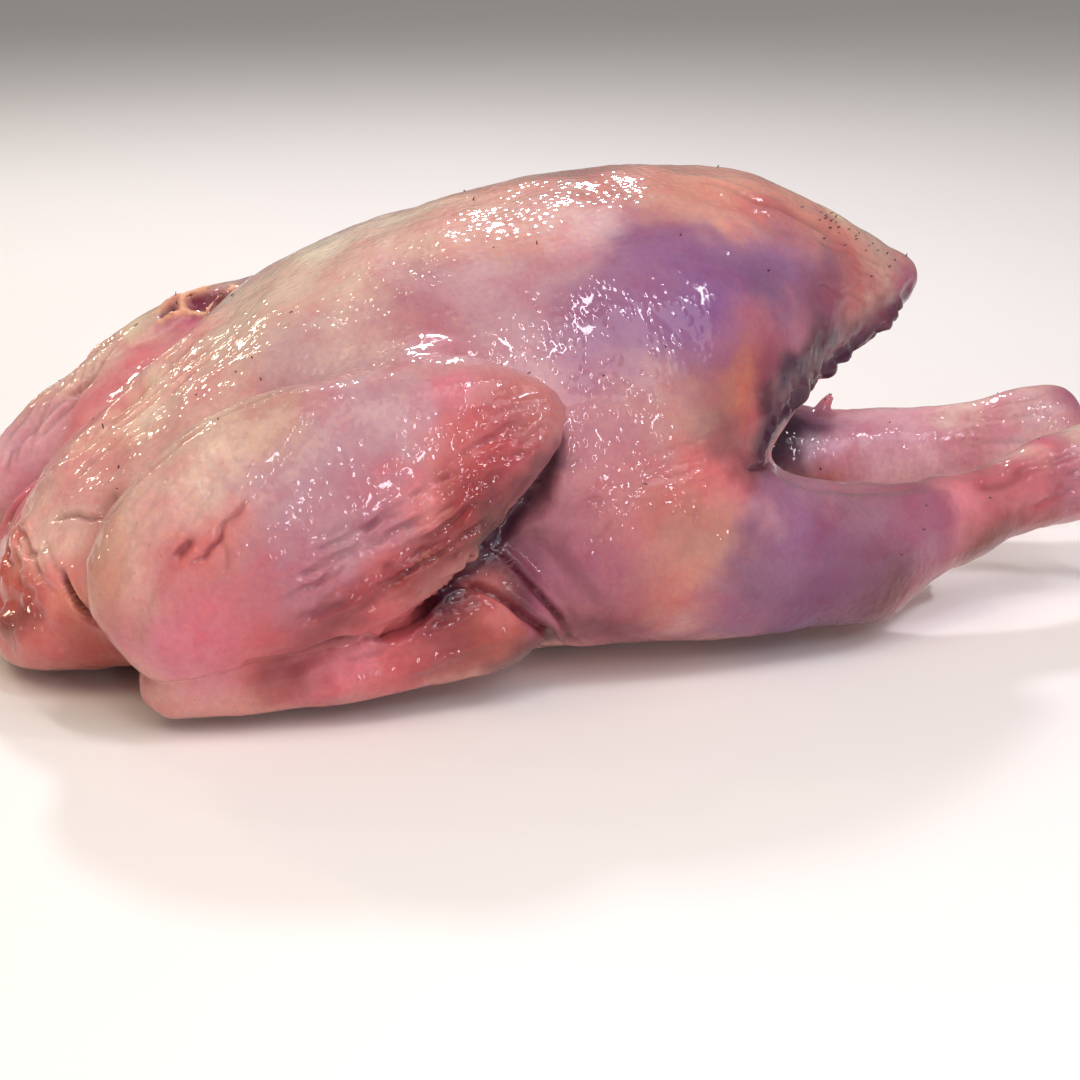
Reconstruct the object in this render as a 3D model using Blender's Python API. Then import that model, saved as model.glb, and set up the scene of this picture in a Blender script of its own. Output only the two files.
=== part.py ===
"""A whole raw turkey lying on its back, breast up, wings folded and legs stretched out behind.

It is one solid. Its masses are lofts along the bird. The torso's are fused and smoothed as
one skin, then the folded wings are fused on, the body is hollowed from the vent, and the
back is cut flat where it lies.

Frame: +X runs from the neck end to the legs, +Z is up, and the origin is in the flat spot
that the back rests on. The bird's right side is at -Y.
"""

import math

import bmesh
import bpy
from mathutils import Vector

MM = 0.001

RIGHT, LEFT = -1, 1            # the bird's own sides
LEFT_LEG_SHIFT = (26, 2, -5)   # mm: the left leg is stretched further back and lies lower
WING_LEAN = 13                 # degrees: the folded wings lean in against the breast

VOXEL = 2.6 * MM               # the grid on which the masses fuse
SKIN_STEPS = 22                # smoothing passes where one skin covers breast and thighs
CREASE_STEPS = 4               # smoothing passes over all, which leave the wings' creases
TRIANGLES = 9600               # of the finished solid, about

RING_POINTS = 40               # points round each ring of a loft
RING_STEP = 4.0 * MM           # distance between the rings of a loft

SKIN_COLOUR = (0.62, 0.33, 0.30, 1.0)
SKIN_ROUGHNESS = 0.32

# Each table holds cross-sections from the neck end to the tail end, in millimetres: x, the y
# and z of the centre, half the width there, and the height above and below the centre.

BREAST = [
    (-217, 2, 28, 8, 4, 6),
    (-212, 2, 30, 30, 12, 15),
    (-200, 2, 37, 50, 22, 26),
    (-182, 2, 43, 64, 34, 34),
    (-160, 2, 49, 75, 46, 40),
    (-135, 0, 58, 85, 58, 46),
    (-100, 0, 70, 94, 71, 50),
    (-50, 0, 78, 102, 83, 54),
    (0, 0, 80, 103, 92, 56),
    (40, 0, 84, 96, 92, 46),
    (70, 0, 98, 79, 76, 38),
    (95, 0, 112, 58, 56, 25),
    (120, 0, 120, 38, 36, 22),
    (140, 0, 121, 23, 20, 19),
    (151, 0, 119, 13, 10, 13),
    (155, 0, 118, 5, 4, 6),
]
BACK = [
    (-219, 0, 20, 22, 6, 10),
    (-213, 0, 21, 44, 14, 17),
    (-198, 0, 25, 60, 22, 23),
    (-160, 0, 32, 74, 34, 31),
    (-100, 0, 40, 88, 40, 43),
    (0, 0, 42, 92, 40, 47),
    (60, 0, 36, 84, 26, 38),
    (100, 0, 26, 62, 22, 23),
    (125, 0, 20, 36, 16, 16),
    (145, -4, 15, 19, 13, 11),
    (158, -6, 12, 10, 9, 8),
    (164, -6, 11, 3, 3, 3),
]
LEG = [
    (-60, 72, 60, 6, 8, 8),
    (-48, 72, 60, 20, 26, 32),
    (-15, 73, 58, 32, 50, 46),
    (25, 73, 54, 35, 52, 44),
    (58, 72, 46, 33, 40, 38),
    (75, 71, 41, 30, 31, 32),
    (95, 70, 38, 28, 27, 29),
    (120, 64, 35, 25, 25, 27),
    (145, 59, 40, 19, 20, 19),
    (160, 55, 42, 16, 18, 18),
    (180, 49, 46, 14, 17, 17),
    (198, 44, 50, 15, 18, 19),
    (214, 41, 51, 17, 20, 20),
    (224, 40, 51, 16, 18, 18),
    (229, 40, 51, 8, 9, 9),
]
SHOULDER = [
    (-184, 70, 50, 8, 10, 12),
    (-176, 72, 54, 17, 22, 26),
    (-150, 78, 64, 22, 34, 34),
    (-110, 84, 74, 23, 38, 36),
    (-70, 88, 84, 20, 36, 34),
    (-40, 90, 92, 14, 22, 24),
    (-24, 90, 96, 5, 7, 8),
]
RIGHT_WING = [
    (-186, 91, 56, 5, 8, 10),
    (-181, 92, 58, 12, 18, 22),
    (-168, 94, 60, 18, 31, 36),
    (-149, 97, 68, 20, 41, 44),
    (-120, 100, 77, 21, 45, 47),
    (-90, 102, 83, 21, 44, 46),
    (-62, 104, 94, 20, 37, 38),
    (-42, 104, 103, 18, 24, 26),
    (-28, 104, 108, 14, 13, 15),
    (-20, 104, 108, 5, 4, 5),
]
LEFT_WING = [
    (-223, 90, 29, 6, 8, 8),
    (-217, 91, 31, 13, 15, 16),
    (-203, 93, 37, 18, 23, 24),
    (-188, 95, 45, 20, 31, 31),
    (-167, 98, 54, 21, 37, 37),
    (-144, 100, 65, 21, 42, 40),
    (-118, 102, 74, 21, 43, 43),
    (-90, 104, 80, 21, 42, 44),
    (-62, 104, 90, 20, 35, 36),
    (-42, 104, 99, 18, 23, 25),
    (-28, 104, 103, 14, 13, 14),
    (-20, 104, 103, 5, 4, 5),
]
WING_TIP = [
    (-170, 92, 18, 5, 5, 6),
    (-160, 93, 19, 12, 12, 14),
    (-120, 97, 21, 14, 16, 15),
    (-80, 99, 27, 14, 20, 18),
    (-54, 98, 33, 14, 21, 21),
    (-36, 97, 31, 12, 16, 17),
    (-24, 97, 28, 5, 6, 6),
]
SKIN_FOLD = [
    (-62, 95, 62, 4, 5, 6),
    (-54, 97, 58, 7, 9, 10),
    (-41, 98, 50, 8, 11, 12),
    (-28, 96, 40, 8, 12, 12),
    (-16, 92, 31, 7, 10, 10),
    (-6, 87, 24, 4, 6, 6),
]
CAVITY = [
    (-52, 0, 80, 8, 8, 8),
    (-42, 0, 80, 28, 22, 22),
    (-5, 0, 79, 41, 34, 30),
    (40, 0, 77, 45, 36, 28),
    (80, 0, 75, 44, 30, 25),
    (110, 0, 73, 42, 28, 28),
    (170, 0, 71, 42, 28, 32),
]


# --- Lofts ---------------------------------------------------------------------------------

def eased(rows, x):
    """A cross-section at x, on the smooth curve through the table's rows."""
    last = len(rows) - 1
    i = max(k for k in range(last) if rows[k][0] <= x or k == 0)
    width = rows[i + 1][0] - rows[i][0]
    t = (x - rows[i][0]) / width

    def slope(k, column):
        low, high = rows[max(k - 1, 0)], rows[min(k + 1, last)]
        return (high[column] - low[column]) / (high[0] - low[0]) * width

    section = [x]
    for column in range(1, len(rows[0])):
        a, b = rows[i][column], rows[i + 1][column]
        rise_a, rise_b = slope(i, column), slope(i + 1, column)
        section.append(
            a + t * rise_a
            + t * t * (3 * (b - a) - 2 * rise_a - rise_b)
            + t ** 3 * (2 * (a - b) + rise_a + rise_b)
        )
    return section


def ring(section, fullness, lean):
    """The section's outline: an oval, boxier with more fullness, leaning by degrees."""
    x, y, z, half_width, above, below = section
    turn = math.radians(lean)
    points = []
    for k in range(RING_POINTS):
        angle = 2 * math.pi * k / RING_POINTS
        across = math.copysign(abs(math.cos(angle)) ** (2 / fullness), math.cos(angle))
        across *= half_width
        height = abs(math.sin(angle)) ** (2 / fullness)
        height *= above if math.sin(angle) > 0 else -below
        points.append(Vector((
            x,
            y + across * math.cos(turn) - height * math.sin(turn),
            z + across * math.sin(turn) + height * math.cos(turn),
        )))
    return points


def loft(bm, table, side=LEFT, shift=(0, 0, 0), fullness=2.1, lean=0):
    """Adds a closed skin through the table's sections. On the RIGHT it is their mirror image."""
    rows = [[value * MM for value in row] for row in table]
    start, end = rows[0][0], rows[-1][0]
    steps = round((end - start) / RING_STEP)
    rings = []
    for k in range(steps + 1):
        section = eased(rows, start + (end - start) * k / steps)
        rings.append([
            bm.verts.new(Vector((point.x, side * point.y, point.z)) + Vector(shift) * MM)
            for point in ring(section, fullness, lean)
        ])
    for low, high in zip(rings, rings[1:]):
        for k in range(RING_POINTS):
            after = (k + 1) % RING_POINTS
            bm.faces.new((low[k], low[after], high[after], high[k]))
    bm.faces.new(reversed(rings[0]))
    bm.faces.new(rings[-1])


# --- Objects and modifiers -----------------------------------------------------------------

def mesh_object(name, bm):
    bmesh.ops.recalc_face_normals(bm, faces=bm.faces)
    mesh = bpy.data.meshes.new(name)
    bm.to_mesh(mesh)
    bm.free()
    obj = bpy.data.objects.new(name, mesh)
    bpy.context.scene.collection.objects.link(obj)
    return obj


def apply_modifiers(obj):
    graph = bpy.context.evaluated_depsgraph_get()
    graph.update()
    mesh = bpy.data.meshes.new_from_object(obj.evaluated_get(graph))
    obj.modifiers.clear()
    obj.data = mesh


def fuse(obj):
    remesh = obj.modifiers.new("Fuse", "REMESH")
    remesh.mode = "VOXEL"
    remesh.voxel_size = VOXEL
    apply_modifiers(obj)


def relax(obj, steps):
    smooth = obj.modifiers.new("Relax", "SMOOTH")
    smooth.factor = 0.5
    smooth.iterations = steps
    apply_modifiers(obj)


def carve(obj, cutter):
    cut = obj.modifiers.new("Carve", "BOOLEAN")
    cut.operation = "DIFFERENCE"
    cut.object = cutter
    apply_modifiers(obj)
    bpy.data.objects.remove(cutter)


def thin_out(obj):
    thin = obj.modifiers.new("Thin", "DECIMATE")
    thin.ratio = TRIANGLES / (2 * len(obj.data.polygons))
    apply_modifiers(obj)


def cut_rest_face(obj):
    """Cuts away what lies below z = 0, and closes the cut with the flat face."""
    bm = bmesh.new()
    bm.from_mesh(obj.data)
    cut = bmesh.ops.bisect_plane(
        bm, geom=bm.verts[:] + bm.edges[:] + bm.faces[:],
        plane_co=(0, 0, 0), plane_no=(0, 0, 1), clear_inner=True,
    )
    rim = [item for item in cut["geom_cut"] if isinstance(item, bmesh.types.BMEdge)]
    bmesh.ops.edgeloop_fill(bm, edges=rim)
    bmesh.ops.recalc_face_normals(bm, faces=bm.faces)
    bm.to_mesh(obj.data)
    bm.free()


# --- The bird ------------------------------------------------------------------------------

def skin_material():
    material = bpy.data.materials.new("raw skin")
    material.use_nodes = True
    shader = material.node_tree.nodes["Principled BSDF"]
    shader.inputs["Base Color"].default_value = SKIN_COLOUR
    shader.inputs["Roughness"].default_value = SKIN_ROUGHNESS
    shader.inputs["Metallic"].default_value = 0.0
    material.diffuse_color = SKIN_COLOUR
    return material


def torso():
    bm = bmesh.new()
    loft(bm, BREAST)
    loft(bm, BACK, fullness=2.2)
    loft(bm, LEG, RIGHT)
    loft(bm, LEG, LEFT, LEFT_LEG_SHIFT)
    loft(bm, SHOULDER, RIGHT)
    loft(bm, SHOULDER, LEFT)
    obj = mesh_object("torso", bm)
    fuse(obj)
    relax(obj, SKIN_STEPS)
    return obj


def add_wings(body):
    bm = bmesh.new()
    bm.from_mesh(body.data)
    bpy.data.objects.remove(body)
    loft(bm, RIGHT_WING, RIGHT, fullness=2.5, lean=WING_LEAN)
    loft(bm, LEFT_WING, LEFT, fullness=2.5, lean=WING_LEAN)
    for side in (RIGHT, LEFT):
        loft(bm, WING_TIP, side, fullness=2.2)
        loft(bm, SKIN_FOLD, side)
    obj = mesh_object("turkey", bm)
    fuse(obj)
    return obj


def hollow(obj):
    bm = bmesh.new()
    loft(bm, CAVITY)
    carve(obj, mesh_object("cavity", bm))
    fuse(obj)
    relax(obj, CREASE_STEPS)


def main():
    for obj in list(bpy.data.objects):
        bpy.data.objects.remove(obj)
    turkey = add_wings(torso())
    hollow(turkey)
    thin_out(turkey)
    cut_rest_face(turkey)
    turkey.data.materials.clear()
    turkey.data.materials.append(skin_material())
    turkey.data.shade_smooth()


main()
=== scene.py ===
import math

import bpy
import numpy as np
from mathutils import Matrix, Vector, kdtree, noise


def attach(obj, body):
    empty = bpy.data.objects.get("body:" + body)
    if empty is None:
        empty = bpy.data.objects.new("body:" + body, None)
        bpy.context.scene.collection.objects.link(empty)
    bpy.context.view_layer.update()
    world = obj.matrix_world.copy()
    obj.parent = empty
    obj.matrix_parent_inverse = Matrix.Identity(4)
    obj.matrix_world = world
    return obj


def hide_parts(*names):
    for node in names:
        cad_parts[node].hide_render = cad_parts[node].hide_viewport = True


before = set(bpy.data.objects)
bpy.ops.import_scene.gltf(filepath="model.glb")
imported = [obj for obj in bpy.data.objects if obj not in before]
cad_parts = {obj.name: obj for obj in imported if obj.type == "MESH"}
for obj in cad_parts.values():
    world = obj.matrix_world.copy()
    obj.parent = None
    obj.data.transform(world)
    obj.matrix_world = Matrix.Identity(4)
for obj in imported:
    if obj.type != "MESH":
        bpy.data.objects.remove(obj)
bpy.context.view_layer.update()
mm = 0.001
right, left = -1, 1    # the bird's own sides: its right wing and leg are at -Y


# Every mass of the bird is a closed skin through cross-sections, from the neck end to the tail end, in mm:
# x, the y and z of the centre, half the width, and the height above and below the centre.
torso = {
    "voxel": 2.2,          # grid on which breast, back, legs and shoulders fuse
    "relax": 30,           # smoothing passes: one skin stretches over all of them
    "pull": 0.5,           # how far each pass draws a point to its neighbours
    "backFullness": 2.2,   # 2 is an ellipse, more is squarer
    "breast": [
        (-217, 2, 28, 8, 4, 6), (-212, 2, 30, 30, 12, 15), (-200, 2, 37, 50, 22, 26),
        (-182, 2, 43, 64, 34, 34), (-160, 2, 49, 75, 46, 40), (-135, 0, 58, 85, 58, 46),
        (-100, 0, 70, 94, 71, 50), (-50, 0, 78, 102, 83, 54), (0, 0, 80, 103, 92, 56),
        (40, 0, 84, 96, 92, 46), (70, 0, 98, 79, 76, 38), (95, 0, 112, 58, 56, 25),
        (120, 0, 120, 38, 36, 22), (130, 0, 121, 31, 28, 19), (138, 0, 122, 25, 23, 14),
        (145, -1, 124, 18, 16, 10), (151, -2, 127, 11, 10, 8), (156, -3, 130, 4, 4, 5),
    ],
    "back": [
        (-219, 0, 20, 22, 6, 10), (-213, 0, 21, 44, 14, 17), (-198, 0, 25, 60, 22, 23),
        (-160, 0, 32, 74, 34, 31), (-100, 0, 40, 88, 40, 43), (0, 0, 42, 92, 40, 47),
        (60, 0, 36, 84, 26, 38), (100, 0, 26, 62, 22, 23), (125, 0, 20, 36, 16, 16),
        (145, -4, 15, 19, 13, 11), (158, -6, 12, 10, 9, 8), (164, -6, 11, 3, 3, 3),
    ],
    "leg": [
        (-60, 72, 60, 6, 8, 8), (-48, 72, 60, 20, 26, 32), (-15, 73, 58, 32, 50, 46),
        (25, 73, 54, 35, 52, 44), (58, 72, 46, 33, 40, 38), (75, 71, 41, 30, 31, 32),
        (95, 70, 38, 28, 27, 29), (120, 64, 35, 25, 25, 27), (145, 59, 40, 19, 20, 19),
        (160, 55, 42, 16, 18, 18), (180, 49, 46, 14, 17, 17), (198, 44, 50, 15, 18, 19),
        (214, 41, 51, 17, 20, 20), (224, 40, 51, 16, 18, 18), (229, 40, 51, 8, 9, 9),
    ],
    "leftLegShift": (26, 2, -5),
    "shoulder": [
        (-184, 70, 50, 8, 10, 12), (-176, 72, 54, 17, 22, 26), (-150, 78, 64, 22, 34, 34),
        (-110, 84, 74, 23, 38, 36), (-70, 88, 84, 20, 36, 34), (-40, 90, 92, 14, 22, 24),
        (-24, 90, 96, 5, 7, 8),
    ],
    "cavity": [
        (-52, 0, 80, 8, 8, 8), (-42, 0, 80, 28, 22, 22), (-5, 0, 79, 41, 34, 30),
        (40, 0, 77, 46, 36, 29), (75, 0, 76, 53, 32, 32), (100, 0, 71, 55, 32, 37),
        (118, 0, 70, 50, 30, 33), (134, 0, 73, 37, 28, 27), (170, 0, 74, 34, 28, 28),
    ],
}
wings = {
    "voxel": 1.3,          # grid on which the folded wings fuse to the torso
    "relax": 5,            # few passes, so the creases round the wings stay sharp
    "lean": 13,            # degrees that they lean in against the breast
    "fullness": 2.5, "tipFullness": 2.2,
    "rightWing": [
        (-186, 91, 56, 5, 8, 10), (-181, 92, 58, 12, 18, 22), (-168, 94, 60, 18, 31, 36),
        (-149, 97, 68, 20, 41, 44), (-120, 100, 77, 21, 45, 47), (-90, 102, 83, 21, 44, 46),
        (-62, 104, 94, 20, 37, 38), (-42, 104, 103, 18, 24, 26), (-28, 104, 108, 14, 13, 15),
        (-20, 104, 108, 5, 4, 5),
    ],
    "leftWing": [
        (-223, 90, 29, 6, 8, 8), (-217, 91, 31, 13, 15, 16), (-203, 93, 37, 18, 23, 24),
        (-188, 95, 45, 20, 31, 31), (-167, 98, 54, 21, 37, 37), (-144, 100, 65, 21, 42, 40),
        (-118, 102, 74, 21, 43, 43), (-90, 104, 80, 21, 42, 44), (-62, 104, 90, 20, 35, 36),
        (-42, 104, 99, 18, 23, 25), (-28, 104, 103, 14, 13, 14), (-20, 104, 103, 5, 4, 5),
    ],
    "tip": [
        (-170, 92, 18, 5, 5, 6), (-160, 93, 19, 12, 12, 14), (-120, 97, 21, 14, 16, 15),
        (-80, 99, 27, 14, 20, 18), (-54, 98, 33, 14, 21, 21), (-36, 97, 31, 12, 16, 17),
        (-24, 97, 28, 5, 6, 6),
    ],
    "web": [
        (-116, 84, 109, 5, 3, 6), (-102, 84, 115, 12, 6, 10), (-86, 83, 120, 14, 7, 12),
        (-72, 81, 124, 14, 7, 12), (-58, 78, 127, 11, 6, 10), (-46, 76, 127, 5, 4, 6),
    ],
    "webLine": [(-112, -92, 120), (-97, -91, 123), (-82, -89, 127), (-66, -87, 130), (-52, -85, 132)],
    "webWidth": 15, "webRelax": 90,    # the skin between wing and breast is drawn smooth
    "skinFold": [
        (-62, 95, 62, 4, 5, 6), (-54, 97, 58, 7, 9, 10), (-41, 98, 50, 8, 11, 12),
        (-28, 96, 40, 8, 12, 12), (-16, 92, 31, 7, 10, 10), (-6, 87, 24, 4, 6, 6),
    ],
}


def eased(rows, x):    # cross-sections at the places x, on smooth curves through the rows
    rows = np.array(rows, float)
    at = rows[:, 0]
    rise = np.empty_like(rows)
    rise[1:-1] = (rows[2:] - rows[:-2]) / (at[2:] - at[:-2])[:, None]
    rise[0], rise[-1] = rows[1] - rows[0], rows[-1] - rows[-2]
    rise[0] /= at[1] - at[0]
    rise[-1] /= at[-1] - at[-2]
    i = np.clip(np.searchsorted(at, x) - 1, 0, len(at) - 2)
    width = (at[i + 1] - at[i])[:, None]
    t = (x[:, None] - at[i][:, None]) / width
    a, b, riseA, riseB = rows[i], rows[i + 1], rise[i] * width, rise[i + 1] * width
    squared = t ** 2 * (3 * (b - a) - 2 * riseA - riseB)
    return a + t * riseA + squared + t ** 3 * (2 * (a - b) + riseA + riseB)


def ringFaces(around, rows):    # quads between rings of points, and a face on each end
    k = np.arange(around)
    faces = [tuple(q) for r in range(rows - 1) for q in
             np.stack([r * around + k, r * around + (k + 1) % around,
                       (r + 1) * around + (k + 1) % around, (r + 1) * around + k], -1)]
    return faces + [tuple(k[::-1]), tuple(k + (rows - 1) * around)]


# Points and faces of one closed skin through cross-sections, in mm
def loft(rows, side=left, shift=(0, 0, 0), fullness=2.1, lean=0):
    around, step = 64, 2.5
    x = np.linspace(rows[0][0], rows[-1][0], round((rows[-1][0] - rows[0][0]) / step))
    section = eased(rows, x)[:, :, None]
    angle = np.linspace(0, 2 * math.pi, around, endpoint=False)[None, :]
    c, s, turn = np.cos(angle), np.sin(angle), math.radians(lean)
    across = np.sign(c) * np.abs(c) ** (2 / fullness) * section[:, 3]
    height = np.abs(s) ** (2 / fullness) * np.where(s > 0, section[:, 4], -section[:, 5])
    y = section[:, 1] + across * math.cos(turn) - height * math.sin(turn)
    z = section[:, 2] + across * math.sin(turn) + height * math.cos(turn)
    points = np.stack([x[:, None] + 0 * y, side * y, z], -1).reshape(-1, 3) + shift
    return points, [face[::side] for face in ringFaces(around, len(x))]


def tube(path, radii, around=14):    # a rope of flesh or a rolled edge of skin along a few points, in mm
    step, aslant = 1.5, (0.31, 0.2, 0.93)    # no strip runs this way
    path, radii = np.array(path, float), np.array(radii, float)
    spot = np.concatenate([[0], np.cumsum(np.linalg.norm(np.diff(path, axis=0), axis=1))])
    rows = np.column_stack([spot, path, radii])
    run = eased(rows, np.linspace(0, spot[-1], max(6, round(spot[-1] / step))))
    centre, radius = run[:, 1:4], run[:, 4]
    along = np.gradient(centre, axis=0)
    along /= np.linalg.norm(along, axis=1)[:, None]
    sideways = np.cross(along, aslant)
    sideways /= np.linalg.norm(sideways, axis=1)[:, None]
    up = np.cross(along, sideways)
    angle = np.linspace(0, 2 * math.pi, around, endpoint=False)
    ring = np.cos(angle)[None, :, None] * sideways[:, None] + np.sin(angle)[None, :, None] * up[:, None]
    points = (centre[:, None] + ring * radius[:, None, None]).reshape(-1, 3)
    return points, ringFaces(around, len(run))


def onSide(path, side, shift=(0, 0, 0)):    # a line shifted, then kept (1) or mirrored (-1)
    return [(x + shift[0], side * (y + shift[1]), z + shift[2]) for x, y, z in path]


# Rolled edges and loose strips of skin, fused on with the wings: points in mm, and the radius at each.
strips = {
    "ventRim": ([(139, -16, 117), (125, -30, 111), (110, -40, 105), (94, -54, 103), (81, -66, 100),
                 (70, -77, 94), (63, -83, 86), (59, -85, 78)], [2.2, 2.6, 2.2, 2.8, 2.3, 2.6, 2.2, 1.5]),
    "keelRag": ([(148, -8, 122), (141, -18, 121), (134, -27, 117), (127, -32, 113)], [1.6, 2.6, 1.7, 2.4]),
    "tornEdge": ([(-139, 91, 108), (-133, 92, 113), (-127, 90, 116), (-120, 91, 118), (-114, 90, 120),
                  (-108, 86, 121), (-105, 80, 120)], [0.7, 1.1, 0.9, 1.5, 1.0, 1.6, 1.0]),
    "tornLoop": ([(-107, 85, 121), (-110, 82, 120), (-114, 80, 117), (-118, 76, 114), (-120, 74, 112),
                  (-121, 73, 108)], [1.0, 1.4, 1.0, 1.2, 0.9, 0.7]),
    "tornLip": ([(-140, 84, 107), (-134, 84, 110), (-128, 84, 111), (-123, 82, 111), (-118, 79, 110)],
                [0.6, 1.0, 0.7, 1.1, 0.8]),
    "tornThread": ([(-126, 91, 117), (-128, 88, 114), (-128, 84, 111)], [0.8, 1.1, 0.8]),
    "skinTag": ([(138, 60, 49), (143, 63, 54), (146, 65, 58), (149, 66, 61)], [4.6, 3.8, 2.9, 1.8]),
}


def placed(name, data):    # an object in the scene
    obj = bpy.data.objects.new(name, data)
    bpy.context.scene.collection.objects.link(obj)
    return obj


def meshOf(name, parts):    # one object out of several (points, faces) in mm
    points, faces, first = [], [], 0
    for partPoints, partFaces in parts:
        points.append(partPoints)
        faces += [tuple(int(i) + first for i in face) for face in partFaces]
        first += len(partPoints)
    mesh = bpy.data.meshes.new(name)
    mesh.from_pydata(np.concatenate(points) * mm, [], faces)
    mesh.update()
    return placed(name, mesh)


def applied(obj, kind, **settings):    # puts one modifier into the object's mesh
    modifier = obj.modifiers.new(kind.lower(), kind)
    for key, value in settings.items():
        setattr(modifier, key, value)
    graph = bpy.context.evaluated_depsgraph_get()
    graph.update()
    mesh = bpy.data.meshes.new_from_object(obj.evaluated_get(graph))
    obj.modifiers.clear()
    old, obj.data = obj.data, mesh
    bpy.data.meshes.remove(old)


def fused(obj, rules):    # remeshed on a grid, so that its parts become one, and smoothed
    applied(obj, "REMESH", mode="VOXEL", voxel_size=rules["voxel"] * mm)
    applied(obj, "SMOOTH", factor=torso["pull"], iterations=rules["relax"])


def pointsOf(mesh):    # its vertices, in mm
    points = np.empty(len(mesh.vertices) * 3)
    mesh.vertices.foreach_get("co", points)
    return points.reshape(-1, 3) / mm


def treeOf(points):    # finds the nearest of them
    tree = kdtree.KDTree(len(points))
    for k, point in enumerate(points):
        tree.insert(point, k)
    tree.balance()
    return tree


def makeBody():
    legs = torso["leg"]
    body = meshOf("torso", [
        loft(torso["breast"]), loft(torso["back"], fullness=torso["backFullness"]),
        loft(legs, right), loft(legs, left, torso["leftLegShift"]),
        loft(torso["shoulder"], right), loft(torso["shoulder"], left),
    ])
    fused(body, torso)
    cavity = meshOf("cavity", [loft(torso["cavity"])])
    applied(body, "BOOLEAN", operation="DIFFERENCE", object=cavity)
    bpy.data.objects.remove(cavity)
    print("torso", len(body.data.vertices), "points")

    parts = [(pointsOf(body.data), [tuple(p.vertices) for p in body.data.polygons])]
    bpy.data.objects.remove(body)
    for name, side in (("rightWing", right), ("leftWing", left)):
        parts.append(loft(wings[name], side, fullness=wings["fullness"], lean=wings["lean"]))
    for side in (right, left):
        parts += [loft(wings["tip"], side, fullness=wings["tipFullness"]), loft(wings["skinFold"], side),
                  loft(wings["web"], side)]
    parts += [tube(path, radii) for path, radii in strips.values()]
    path, radii = strips["ventRim"]
    parts.append(tube(onSide(path, -1), radii))
    body = meshOf("turkeyBody", parts)
    fused(body, wings)
    points = pointsOf(body.data)
    stretched = sum(nearLine(points * (1, side, 1), wings["webLine"], wings["webWidth"]) for side in (1, -1))
    least, gain = 0.05, 1.5
    web = body.vertex_groups.new(name="web")
    for k in np.where(stretched > least)[0]:
        web.add([int(k)], min(gain * float(stretched[k]), 1), "REPLACE")
    applied(body, "SMOOTH", factor=torso["pull"], iterations=wings["webRelax"], vertex_group="web")
    print("bird", len(body.data.vertices), "points")
    return body


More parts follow.
